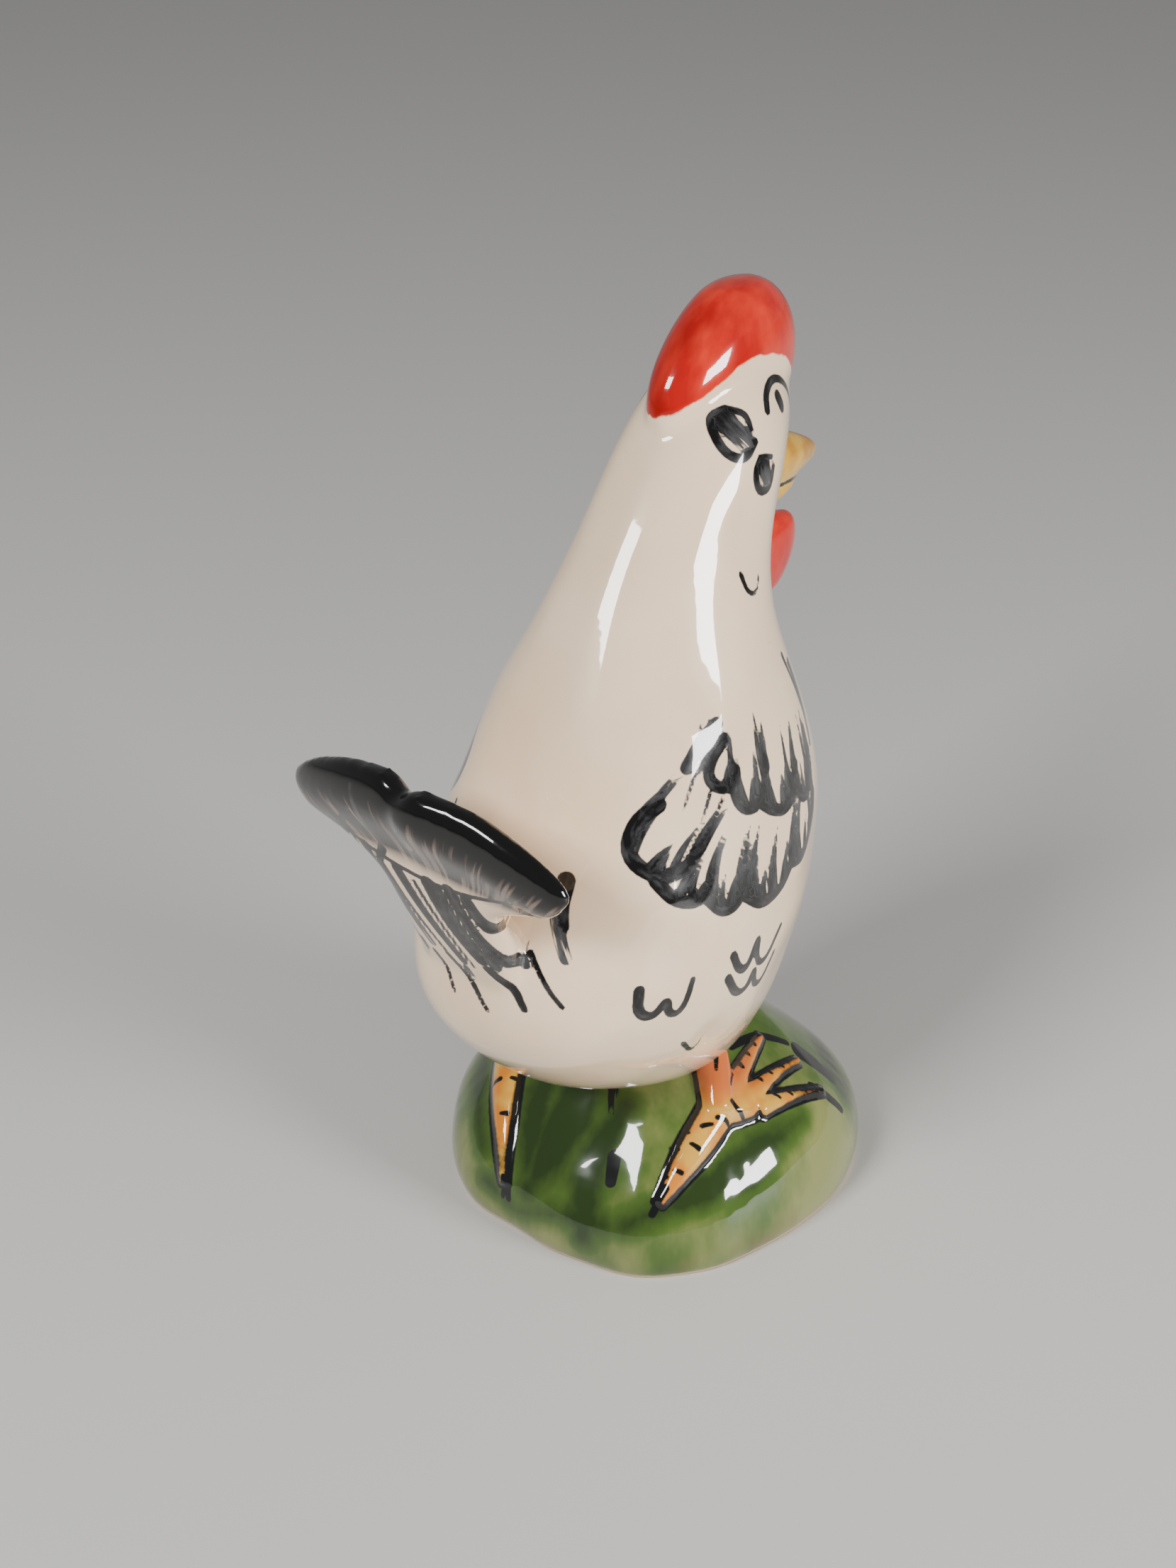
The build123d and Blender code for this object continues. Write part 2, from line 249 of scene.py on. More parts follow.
bird_near = nearness(bird_skin, bird_trees)
beak_near = [min(pair) for pair in zip(bird_near["upper_beak"], bird_near["lower_beak"])]
wattle_near = [min(pair) for pair in zip(bird_near["left_wattle"], bird_near["right_wattle"])]
put(bird_skin, "beak_paint", [
    min(body, lobe) - beak for body, lobe, beak in zip(bird_near["body"], wattle_near, beak_near)
])
put(bird_skin, "wattle_paint", [body - lobe for body, lobe in zip(bird_near["body"], wattle_near)])
put(bird_skin, "mouth_line", [
    upper - lower for upper, lower in zip(bird_near["upper_beak"], bird_near["lower_beak"])
])

# The red of the comb is brushed on by eye: it dips at the nape and the brow, beyond the clay.
CREST_LINE = (
    (0, 172), (7, 170.5), (11, 173), (15, 175.5), (20, 178),
    (26, 179.5), (32, 179.5), (38, 177), (43, 172), (50, 167),
)
NECK_TOP = 150
NOT_COMB = -9.0


def along(line, place):
    """The height of a line of points at a place, straight between its points."""
    for (start, low), (end, high) in zip(line, line[1:]):
        if place <= end:
            return low + (high - low) * max(0.0, place - start) / (end - start)
    return line[-1][1]


put(bird_skin, "crest_paint", [
    vert.co.z / mm - along(CREST_LINE, -vert.co.y / mm) if vert.co.z > NECK_TOP * mm else NOT_COMB
    for vert in bird_skin.data.vertices
])

# ---- Mound -----------------------------------------------------------------------------------
# The hollow cushion that the hen stands on, slip cast and pressed about by hand, with a flat bare
# foot. The slip was drained through the round hole in its floor.

mound_clay = clay_form("mound_clay", (
    (-7, 50, 25, 37), (-1, 55.5, 30.2, 41), (3, 57.2, 31.7, 42.3), (9, 56.4, 31.2, 41.9),
    (15, 52.4, 28.6, 40.6), (22, 45.8, 22.4, 36.4), (28, 39.3, 16.4, 30), (34, 33.6, 10, 22.6),
    (40, 27.4, 3.8, 15),
), around=48, squareness=2.5)
rounded(mound_clay)
# Each press of the thumb, as (x, y, spread, depth).
THUMBED = (
    (-36, 4, 9, 1.3), (-31, 17, 8, 1.0), (-14, 25, 8, 1.1), (4, 27, 8, 0.8),
    (15, 26, 7, -0.6), (30, 16, 9, 1.0), (39, -4, 9, 0.8), (-38, -20, 10, -0.8),
    (-28, -40, 10, 1.2), (0, -56, 12, 1.0), (28, -42, 10, 1.2), (-6, 15, 6, 0.9),
)


def thumbing(x, y):
    """How deep the mound is pressed in at a place in plan, in mm."""
    return sum(deep * math.exp(-((x - a) ** 2 + (y - b) ** 2) / wide ** 2) for a, b, wide, deep in THUMBED)


for vert in mound_clay.data.vertices:
    vert.co -= vert.normal * thumbing(vert.co.x / mm, vert.co.y / mm) * mm

# ---- Feet and shanks -------------------------------------------------------------------------
# Coils and flattened sprigs of clay, pressed on the mound: a palm, three toes and a spur to each
# foot, and a short shank that goes up under the belly.

mound_tree = BVHTree.FromObject(mound_clay, bpy.context.evaluated_depsgraph_get())


def coils(name, paths):
    """Rolled coils laid on the mound: points are (x, y, radius, how far they stand proud) in mm."""
    curve = bpy.data.curves.new(name, "CURVE")
    curve.dimensions, curve.bevel_depth, curve.bevel_resolution, curve.use_fill_caps = "3D", mm, 5, True
    for path in paths:
        coil = curve.splines.new("NURBS")
        coil.points.add(len(path) - 1)
        coil.order_u, coil.use_endpoint_u = 3, True
        for point, (x, y, radius, proud) in zip(coil.points, path):
            place, normal, _, _ = mound_tree.ray_cast(Vector((x, y, 200)) * mm, Vector((0, 0, -1)))
            point.co = (*(place - normal * (radius - proud) * mm), 1)
            point.radius = radius
    form = bpy.data.objects.new(name, curve)
    bpy.context.collection.objects.link(form)
    bpy.ops.object.select_all(action="DESELECT")
    form.select_set(True)
    bpy.context.view_layer.objects.active = form
    bpy.ops.object.convert(target="MESH")
    return bpy.context.object


# The two spurs were laid by eye and differ; the toes and shanks of the two sides match.
SPURS = {
    "right": (
        (-26, 0, 4.6, 2.4), (-26.6, 7.5, 4.6, 2.3), (-26.4, 13.5, 3.0, 1.9), (-25.9, 19.3, 1.1, 1.2),
    ),
    "left": (
        (25.4, 1, 6.4, 2.7), (22, 9.5, 7.2, 2.8), (16.6, 18, 5.2, 2.3), (11, 25, 2.8, 1.7),
        (7, 29.5, 1.2, 1.2),
    ),
}
base_clay = {"base_mound": mound_clay}
for side, word in ((-1, "right"), (1, "left")):
    base_clay[f"{word}_foot"] = coils(f"{word}_foot_clay", (
        SPURS[word],
        ((side * 25.5, 0, 4.8, 2.6), (side * 27.8, -5, 5.6, 2.4), (side * 30, -8.5, 3.6, 1.9)),
        ((side * 25.5, -5, 2.4, 2.3), (side * 23.6, -12, 1.6, 1.9), (side * 21.4, -20.5, 0.9, 1.3)),
        ((side * 28, -7, 2.4, 2.2), (side * 27.6, -15.5, 1.6, 1.8), (side * 28, -25.5, 0.9, 1.3)),
        ((side * 30.5, -8, 2.4, 2.0), (side * 32.2, -17, 1.6, 1.7), (side * 34.2, -26.5, 0.9, 1.2)),
    ))
    base_clay[f"{word}_shank"] = coils(f"{word}_shank_clay", ((
        (side * 26, 0, 3.8, 3.4), (side * 22.5, -3, 3.8, 4.2), (side * 18, -6.5, 4.0, 5.0),
        (side * 14.5, -8, 4.2, 5.5),
    ),))
base_skin = lute("base_skin", base_clay, grain=0.6, sponging=4)
bpy.ops.object.select_all(action="DESELECT")
base_skin.select_set(True)
bpy.context.view_layer.objects.active = base_skin
bpy.ops.object.mode_set(mode="EDIT")
bpy.ops.mesh.select_all(action="SELECT")
bpy.ops.mesh.bisect(plane_co=(0, 0, 0), plane_no=(0, 0, 1), use_fill=True, clear_inner=True)
bpy.ops.object.mode_set(mode="OBJECT")

# The drain hole, and the hollow that shows through it.
hollow = clay_form("hollow", (
    (-2, 19.75, -5.75, 7), (4, 19.75, -5.75, 7), (4.5, 32, 6.5, 19.5), (13, 32, 6.5, 19.5),
), around=48)
finish_with(base_skin, "BOOLEAN", operation="DIFFERENCE", object=hollow, solver="EXACT")
bpy.data.objects.remove(hollow)
base_trees = {
    part: BVHTree.FromObject(form, bpy.context.evaluated_depsgraph_get()) for part, form in base_clay.items()
}
base_near = nearness(base_skin, base_trees)
put(base_skin, "limb_paint", [
    ground - min(limbs) for ground, *limbs in zip(
        base_near["base_mound"], base_near["left_foot"], base_near["right_foot"],
        base_near["left_shank"], base_near["right_shank"],
    )
])
put(base_skin, "pressed", [thumbing(vert.co.x / mm, vert.co.y / mm) for vert in base_skin.data.vertices])

# ---- Brushwork -------------------------------------------------------------------------------
# Black underglaze colour, laid on with a loaded round brush before the clear glaze: single liner
# strokes, and feathers pressed and flicked upwards so that the hairs leave dry streaks.

# A point this far from the ink, in mm, counts as bare.
CLEAR = 4.0


class Brush:
    """Paints strokes on one skin, in mm, and keeps for each of its points how far it is from the ink."""

    def __init__(self, skin):
        self.skin = skin
        self.tree = BVHTree.FromObject(skin, bpy.context.evaluated_depsgraph_get())
        self.points = KDTree(len(skin.data.vertices))
        for vert in skin.data.vertices:
            self.points.insert(vert.co, vert.index)
        self.points.balance()
        self.gap = [CLEAR] * len(skin.data.vertices)
        self.grain = [(0.0, 0.0, 0.0)] * len(skin.data.vertices)

    def onto(self, view, points):
        """Where the points of a view fall on the clay: (forward, height), (x, height) or (x, y)."""
        run = []
        for a, b in points:
            start, way = {
                "right": ((-200, -a, b), (1, 0, 0)), "left": ((200, -a, b), (-1, 0, 0)),
                "back": ((a, 200, b), (0, -1, 0)), "top": ((a, b, 200), (0, 0, -1)),
            }[view]
            place, normal, _, _ = self.tree.ray_cast(Vector(start) * mm, Vector(way))
            if place:
                run.append((place, normal))
        return run

    def stroke(self, view, points, width=1.2, taper=0.5, dry=0.0, seed=0.0):
        """One stroke: its width, how much it thins to its end, and how dry the brush gets."""
        run = self.onto(view, softened(points))
        length = sum((b - a).length for (a, _), (b, _) in zip(run, run[1:])) / mm
        gone = 0.0
        for (start, normal), (end, _) in zip(run, run[1:]):
            way = end - start
            span = way.length
            for place, index, _ in self.points.find_range((start + end) / 2, span / 2 + (width + CLEAR) * mm):
                offset = place - start
                share = min(1.0, max(0.0, offset.dot(way) / (span * span)))
                done = (gone + share * span / mm) / length
                gap = (offset - way * share).length / mm - width / 2 * (1 - taper * done ** 1.5)
                if gap < self.gap[index]:
                    across = offset.dot(normal.cross(way).normalized()) / mm
                    self.gap[index] = gap
                    self.grain[index] = (across + seed, done * length, dry * done)
            gone += span / mm

    def scallop(self, view, points, width, hairs, length, lean, seed):
        """The thick lower edge of a feather, and the hairs flicked up from it, leaning by degrees."""
        curve = softened(points)
        for hair in range(hairs):
            foot = curve[round((hair + 0.6) / hairs * (len(curve) - 1))]
            wobble = math.sin(hair * 2.4 + seed)
            turn = math.radians(lean + 6 * wobble)
            reach = length * (0.80 + 0.28 * math.sin(hair * 1.7 + seed))
            tip = (foot[0] + reach * math.sin(turn), foot[1] + reach * math.cos(turn))
            bend = ((foot[0] + tip[0]) / 2 - 0.07 * reach, (foot[1] + tip[1]) / 2)
            self.stroke(view, (foot, bend, tip), 2.3 + 0.5 * wobble, 0.85, 0.6, seed + hair * 7)
        self.stroke(view, points, width, 0.15, 0.08, seed + 3)

    def leave(self, name):
        """Keeps what was painted as attributes of the skin."""
        put(self.skin, f"{name}_gap", self.gap)
        put(self.skin, f"{name}_grain", self.grain, "FLOAT_VECTOR")


def softened(points):
    """The same run of points with its corners cut twice."""
    for _ in range(2):
        cut = [points[0]]
        for a, b in zip(points, points[1:]):
            cut += [[p + (q - p) * share for p, q in zip(a, b)] for share in (0.25, 0.75)]
        points = [*cut, points[-1]]
    return points


hen_brush = Brush(bird_skin)
scallop, stroke = hen_brush.scallop, hen_brush.stroke
for side in ("right", "left"):
    # Upper row of the wing, from the back forward.
    stroke(side, ((-3, 121.5), (-7, 119.5), (-11, 115.5)), 2.8, 0.0, 0.25, 7)
    stroke(side, ((-3.5, 118.5), (-6, 117), (-9, 114.5)), 1.7, 0.2, 0.6, 9)
    scallop(side, ((-2.5, 118.5), (-6, 116), (-8, 112.5), (-5, 109.5), (-1.5, 110.5)), 2.7, 6, 8, 8, 11)
    scallop(side, ((-1.5, 112), (-3, 107), (0, 103.5), (4.5, 104.5), (6.5, 110)), 2.7, 8, 12, 4, 23)
    scallop(side, ((4, 103.5), (7, 100.8), (11, 99.2), (15, 101), (16.5, 106)), 2.7, 8, 13, 2, 37)
    scallop(side, ((16, 101), (19, 97.5), (22.5, 99), (24, 105)), 2.8, 7, 13, -2, 51)
    stroke(side, ((26, 121), (27, 114), (26.5, 105)), 2.4, 0.3, 0.7, 17)
    stroke(side, ((23, 124), (25, 118), (26, 112)), 1.4, 0.5, 0.5, 19)
    # Lower row.
    scallop(side, (
        (-17.5, 110), (-22, 107.5), (-25, 102), (-22.5, 98), (-17, 97), (-12, 101),
    ), 3.2, 8, 13, 48, 67)
    scallop(side, ((-22, 97), (-20, 92.8), (-15.5, 91), (-12, 93.5)), 2.9, 7, 9, 42, 79)
    scallop(side, ((-13.5, 91.5), (-10.5, 87.2), (-6, 87.5), (-3.5, 92)), 2.9, 8, 12, 26, 95)
    scallop(side, ((-3.5, 87.5), (0.5, 84), (7, 84), (12, 88.5)), 2.9, 10, 13, 16, 113)
    scallop(side, ((12, 87.5), (17, 86), (22, 89.5), (24, 96)), 2.9, 9, 13, 8, 131)
    # Pale dry flicks between the two rows.
    for flick in (((-10, 114), (-14, 108)), ((-8, 110), (-11, 105)), ((-6, 108), (-9, 104))):
        stroke(side, flick, 0.9, 0.3, 1.0, flick[0][0])
    # Marks on the flank and thigh, like small letters.
    stroke(side, (
        (-29, 77), (-29.5, 72), (-26, 69.5), (-23.5, 73.5), (-22.8, 69), (-20, 68.3), (-18, 75.5),
    ), 2.4, 0.45)
    stroke(side, ((-8, 76.5), (-6, 72), (-3, 70.5), (0.5, 77.5), (0, 70.5), (4, 68), (9, 74)), 2.1, 0.4)
    stroke(side, ((-9, 71.5), (-5.5, 65.5), (-2, 64.5), (0, 69.5), (0.5, 64.5), (4, 62.5), (8, 68)), 2.1, 0.4)
    stroke(side, ((-17, 58.5), (-12.5, 53), (-11, 58)), 1.2, 0.6, 0.6, 29)
    # The small hook on the neck, the cheek and ear spots, and the eye.
    stroke(side, ((12.6, 144), (13.4, 140.6), (15.4, 139), (17.4, 139.8), (18.2, 141.8)), 1.2, 0.45)
    on = 2.5 if side == "left" else 0
    stroke(side, ((16.5 + on, 171), (17.5 + on, 169), (18.8 + on, 167)), 4.4, 0.1, 0.6, 41)
    stroke(side, (
        (17.5 + on, 172.5), (14.2 + on, 171.5), (13.8 + on, 166), (17.5 + on, 163.8), (20.8 + on, 166.5),
    ), 2.0, 0.1, 0.1, 43)
    stroke(side, ((18 + on, 172.5), (20.8 + on, 171.5), (20.8 + on, 168.5)), 1.5, 0.2, 0.3, 47)
    stroke(side, ((22.3, 162), (22.5, 160), (23, 158.5)), 3.4, 0.1, 0.6, 61)
    stroke(side, ((21.5, 163.3), (19.3, 161), (19.8, 157.2), (24, 156.8), (25.3, 160.5)), 1.8, 0.1, 0.1, 53)
    stroke(side, ((22.5, 163.3), (25, 162.5)), 1.3, 0.2, 0.3, 57)
    stroke(side, ((26.3, 170.5), (27.3, 173.2), (31, 174.8), (35, 173.4), (38.5, 170), (40, 166.5)), 1.8, 0.3)
    stroke(side, ((31.5, 171.4), (32.4, 169.4)), 2.8, 0.0)
# The far wing's first flicks, seen from behind.
stroke("back", ((12, 121), (11, 114), (11, 108)), 1.4, 0.4, 1.0, 71)
stroke("back", ((14, 116), (19, 109), (21, 103)), 1.6, 0.3, 0.2, 73)
stroke("back", ((9.5, 107), (12, 102.5)), 2.2, 0.2, 0.2, 77)

# From under the fan's fold the brush runs down its root and over the rump.
for points, width, dry in (
    (((28, 110), (15, 105), (0, 103.5), (-13, 105), (-26, 110)), 1.3, 0.1),
    (((15, 105), (13, 95), (9.5, 84.5)), 3.0, 0.2),
    (((11.5, 103), (6.5, 94), (1, 84.5)), 1.4, 0.0),
    (((7, 103), (1.5, 92), (-3, 84)), 3.0, 0.1),
    (((3, 102), (-2, 91), (-5.5, 83.5)), 1.2, 0.0),
    (((-1, 103), (-4.5, 93), (-8, 86.5)), 4.2, 0.0),
    (((-7, 102), (-10, 90), (-14, 83.5), (-19, 75.5)), 1.4, 0.1),
    (((-14, 98), (-14.5, 94), (-16, 90.5)), 3.6, 0.0),
    (((18, 106), (16, 93), (12, 84)), 1.1, 0.1),
    (((12, 101), (8, 92), (4.5, 85)), 3.0, 0.6),
    (((-6, 104), (-9, 95), (-12.5, 84)), 3.2, 0.5),
    (((-10, 103), (-14, 93), (-18, 85)), 3.4, 0.7),
    (((-3, 103), (-6, 94), (-10.5, 85)), 2.6, 0.4),
    (((5, 82.5), (3, 79), (0.5, 75)), 1.3, 0.0),
    (((1, 84), (-3, 79), (-7, 73.5)), 1.4, 0.0),
    (((-8.5, 84.5), (-11, 80), (-13.5, 75)), 2.0, 0.0),
    (((8, 84), (7, 81)), 1.8, 1.0),
    (((-3, 82), (-4, 80)), 1.8, 1.0),
):
    stroke("back", points, width, 0.3, dry, points[0][0] * 3.0)
hen_brush.leave("ink")

# On the mound: claws, and dark touches between the legs and before the toes.
foot_brush = Brush(base_skin)
for points, width, dry in (
    (((-26.1, 17.5), (-25.6, 21)), 1.9, 0.0),
    (((7.4, 29.6), (6.2, 31.4), (5.4, 33)), 1.4, 0.0),
    (((6.5, 29.5), (3.5, 31.5), (1, 33)), 1.8, 0.5),
    (((-6, 9), (-7, 11), (-9, 13.5)), 2.6, 1.0),
    (((-14, 19), (-15.5, 22)), 3.0, 0.5),
    (((-20, -12), (-21, -20), (-24, -27)), 2.0, 0.4),
    (((-26, -29), (-31, -34)), 5.0, 0.6),
    (((-33, -24), (-37, -30)), 2.4, 0.5),
):
    foot_brush.stroke("top", points, width, 0.2, dry, points[0][0] * 5.0)

# Creases across the toes and ankles of both feet, as (x, y, turn, length), then across the spurs.
CREASE = 1.15
for side in (-1, 1):
    for x, y, turn, long in (
        (24.2, -10, 0.3, 1.6), (23.2, -13.5, 0.2, 1.4), (22.4, -16.8, 0.2, 1.2),
        (27.7, -12, 0.1, 1.6), (27.7, -15.5, 0, 1.4), (27.9, -19.5, 0, 1.2),
        (31.6, -13, -0.2, 1.6), (32.4, -16.5, -0.2, 1.4), (33.2, -20.5, -0.3, 1.2),
        (25.5, -5, 1.0, 3.0), (29.5, -2.5, -0.5, 3.2), (28.5, 1.5, -0.9, 2.6), (22.5, -3.5, 0.9, 3.0),
        (20.5, -5, 0.9, 3.2), (27, 5, -0.9, 2.2), (24, 8.5, -0.4, 1.6),
    ):
        over, up = long * math.cos(turn) / 2, long * math.sin(turn) / 2
        ends = ((side * (x - over), y - up), (side * (x + over), y + up))
        foot_brush.stroke("top", ends, CREASE, 0.3, 0.2)
for x, y, long in (
    (-27.3, 9, 1.8), (-23.8, 11.5, 1.6), (-26.8, 14, 1.5), (-24.6, 16, 1.3),
    (19, 18, 1.8), (15, 16.5, 1.8), (13, 22.5, 1.5), (24.5, 9, 1.8),
):
    foot_brush.stroke("top", ((x - long / 2, y), (x + long / 2, y + 0.6)), CREASE, 0.3, 0.2)
foot_brush.leave("ink")

# Darker glaze, flooded on and left to pool.
pool_brush = Brush(base_skin)
for points, width in (
    (((-36, -16), (-35.5, -3), (-33, 8), (-29, 17), (-22, 25)), 4.0),
    (((0, 10), (-1, 20), (1, 29)), 5.0),
    (((-12, 12), (-10, 22), (-14, 29)), 3.0),
    (((33, -4), (31, 9), (24, 19), (16, 27)), 3.5),
    (((10, 10), (7, 20), (3, 27)), 2.5),
    (((-17, 27), (-2, 31), (12, 30)), 2.5),
    (((38, -22), (36, -8)), 5.0),
    (((-33, -36), (-12, -50)), 5.0),
    (((33, -36), (12, -50)), 5.0),
):
    pool_brush.stroke("top", points, width, 0.2)
pool_brush.leave("pool")

# On the tail the colour is streaked down from the rim: how far down, how far round, and how front.
tail_streak = []
for vert, from_tail, from_body in zip(bird_skin.data.vertices, bird_near["tail"], bird_near["body"]):
    x, back, height = (c / mm for c in vert.co)
    flare = ease(90, 118, height) * (x / TAIL_TIP) ** 2
    down = 126.5 - 10 * flare - height
    spread = x / (10 + 0.9 * max(0.0, height - 88))
    on_tail = min(1.0, max(0.0, (from_body - from_tail) / 3 + 0.5)) if back > 38 else 0.0
    tail_streak.append((down, spread, on_tail))
put(bird_skin, "tail_streak", tail_streak, "FLOAT_VECTOR")
put(bird_skin, "tail_front", [
    vert.co.y / mm - (57 - 4 * (vert.co.x / mm / TAIL_TIP) ** 2) for vert in bird_skin.data.vertices
])

# ---- Glazes ----------------------------------------------------------------------------------
# Every piece wears the same clear, glassy glaze over its colour, thick enough to round all edges.

class Wire:
    """A shader value that plain arithmetic can be written with."""

    def __init__(self, tree, socket):
        self.tree, self.socket = tree, socket

    def maths(self, operation, *others, clamp=False):
        node = self.tree.nodes.new("ShaderNodeMath")
        node.operation, node.use_clamp = operation, clamp
        for slot, value in zip(node.inputs, (self, *others)):
            if isinstance(value, Wire):
                self.tree.links.new(value.socket, slot)
            else:
                slot.default_value = value
        return Wire(self.tree, node.outputs[0])

    def __add__(self, other): return self.maths("ADD", other)
    def __sub__(self, other): return self.maths("SUBTRACT", other)
    def __rsub__(self, other): return self.maths("MULTIPLY", -1.0) + other
    def __mul__(self, other): return self.maths("MULTIPLY", other)
    def __truediv__(self, other): return self.maths("DIVIDE", other)

    def at_least(self, other): return self.maths("MAXIMUM", other)
    def size(self): return self.maths("ABSOLUTE")

    def between(self, low, high):
        """0 at low and beyond, 1 at high and beyond; low may be the higher number."""
        return ((self - low) / (high - low)).maths("MULTIPLY", 1.0, clamp=True)


class Glaze:
    """One fired finish, built up node by node."""

    def __init__(self, name):
        self.material = bpy.data.materials.new(name)
        self.material.use_nodes = True
        self.tree = self.material.node_tree
        self.shader = self.tree.nodes["Principled BSDF"]
        self.place = self.node("ShaderNodeTexCoord", output="Object")

    def node(self, kind, output=0, settings=None, **inputs):
        made = self.tree.nodes.new(kind)
        for name, value in (settings or {}).items():
            setattr(made, name, value)
        for name, value in inputs.items():
            slot = made.inputs[int(name[1:]) if name[1:].isdigit() else name.replace("_", " ")]
            if isinstance(value, Wire):
                self.tree.links.new(value.socket, slot)
            else:
                slot.default_value = value
        return Wire(self.tree, made.outputs[output])

    def attribute(self, name, output="Fac"):
        return self.node("ShaderNodeAttribute", output=output, settings={"attribute_name": name})

    def split(self, vector):
        made = self.tree.nodes.new("ShaderNodeSeparateXYZ")
        self.tree.links.new(vector.socket, made.inputs[0])
        return [Wire(self.tree, out) for out in made.outputs]

    def joined(self, x, y, z):
        return self.node("ShaderNodeCombineXYZ", X=x, Y=y, Z=z)

    def noise(self, scale, detail=2.0, where=None, roughness=0.5):
        vector = self.place if where is None else where
        return self.node("ShaderNodeTexNoise", Vector=vector, Scale=scale, Detail=detail, Roughness=roughness)

    def stretched(self, x, y, z):
        """The piece's own coordinates, scaled differently each way."""
        return self.node("ShaderNodeMapping", Vector=self.place, Scale=(x, y, z))

    def mix(self, amount, under, over):
        """Two colours, or links of colours, by an amount."""
        made = self.tree.nodes.new("ShaderNodeMix")
        made.data_type = "RGBA"
        for slot, value in zip((made.inputs[0], made.inputs[6], made.inputs[7]), (amount, under, over)):
            if isinstance(value, Wire):
                self.tree.links.new(value.socket, slot)
            else:
                slot.default_value = value
        return Wire(self.tree, made.outputs[2])

    def fire(self, colour, roughness, waves):
        """Joins the colour up and gives the surface its glass."""
        links = self.tree.links
        links.new(colour.socket, self.shader.inputs["Base Color"])
        if isinstance(roughness, Wire):
            links.new(roughness.socket, self.shader.inputs["Roughness"])
        else:
            self.shader.inputs["Roughness"].default_value = roughness
        bump = self.node("ShaderNodeBump", output="Normal", Strength=0.45, Distance=0.0004, Height=waves)
        links.new(bump.socket, self.shader.inputs["Normal"])
        self.shader.inputs["Specular IOR Level"].default_value = 0.1
        self.shader.inputs["Coat Weight"].default_value = 1.0
        self.shader.inputs["Coat Roughness"].default_value = 0.03
        return self.material


def paint(red, green, blue):
    """A colour as the eye sees it, 0 to 1, turned into light."""
    return (*((c / 12.92 if c < 0.04 else ((c + 0.055) / 1.055) ** 2.4) for c in (red, green, blue)), 1.0)


def hen_glaze(name):
    """The hen's cream, with all of its brushwork read from the skin."""
    glaze = Glaze(name)
    cream = glaze.mix(
        glaze.noise(38, 3).between(0.35, 0.7), paint(0.98, 0.872, 0.745), paint(0.945, 0.825, 0.685)
    )
    specks = glaze.noise(900, 1).between(0.80, 0.84)
    cream = glaze.mix(specks * 0.35, cream, paint(0.62, 0.50, 0.38))
    fray = (glaze.noise(900, 2) - 0.5) * 0.5

    down, spread, on_tail = glaze.split(glaze.attribute("tail_streak", "Vector"))
    combed = glaze.noise(1.0, 2, glaze.joined(spread * 9, down * 0.035, 0.0))
    fine = glaze.noise(1.0, 2, glaze.joined(spread * 30, down * 0.05, 5.0))
    behind = glaze.attribute("tail_front").between(-0.6, 0.6)
    edge = (down + combed * 5.0 + fine * 2.0).between(13.5, 10.0)
    front_edge = (down + fine * 5).between(6.0, 4.5)
    streaks = (combed * 0.6 + fine * 0.4 + (down - 6) * 0.005).between(0.61, 0.55)
    dark = glaze.mix(fine, paint(0.03, 0.025, 0.022), paint(0.15, 0.09, 0.07))
    brown = glaze.mix(streaks, paint(0.50, 0.42, 0.365), dark)
    brown = glaze.mix((down + combed * 8).between(33.0, 26.0), cream, brown)
    rim = (edge * behind).at_least(front_edge * (1 - behind))
    fan = glaze.mix(rim, glaze.mix(behind, cream, brown), paint(0.02, 0.019, 0.02))
    colour = glaze.mix(on_tail.between(0.35, 0.65), cream, fan)

    across, way, dry = glaze.split(glaze.attribute("ink_grain", "Vector"))
    hairs = glaze.noise(1.0, 2, glaze.joined(across * 1.6, way * 0.10, 0.0))
    cover = (hairs - dry * 0.62).between(-0.04, 0.06)
    wet = (glaze.attribute("ink_gap") + fray * 0.35).between(0.12, -0.12)
    thin = (glaze.noise(1.0, 3, glaze.joined(across * 0.7, way * 0.25, 3.0)) + dry * 0.6).between(0.48, 1.0)
    ink = glaze.mix(thin, paint(0.025, 0.024, 0.026), paint(0.33, 0.33, 0.335))
    colour = glaze.mix(wet * cover, colour, ink)

    brushed = glaze.noise(1.0, 3, glaze.stretched(300, 150, 70))
    pooled = glaze.noise(70, 2)
    red = glaze.mix(brushed.between(0.35, 0.68), paint(0.70, 0.04, 0.02), paint(0.84, 0.19, 0.10))
    red = glaze.mix(pooled.between(0.48, 0.66) * 0.55, red, paint(0.52, 0.03, 0.02))
    crest = (glaze.attribute("crest_paint") + (brushed - 0.5) * 3.0).between(-0.25, 0.25)
    crest = crest.at_least((glaze.attribute("wattle_paint") + fray).between(-0.5, 0.1))
    colour = glaze.mix(crest, colour, red)

    yellow = glaze.mix(
        glaze.noise(160, 2).between(0.4, 0.65), paint(0.86, 0.68, 0.22), paint(0.74, 0.52, 0.15)
    )
    on_beak = (glaze.attribute("beak_paint") + fray).between(-0.3, 0.2)
    colour = glaze.mix(on_beak, colour, yellow)
    mouth = (glaze.attribute("mouth_line").size() + fray).between(0.75, 0.45)
    mouth = mouth * glaze.attribute("beak_paint").between(0.6, 1.4)
    colour = glaze.mix(mouth, colour, paint(0.05, 0.04, 0.035))

    waves = glaze.noise(55, 1) * 0.7 + glaze.noise(420, 1) * 0.03
    return glaze.fire(colour, 0.16, waves)


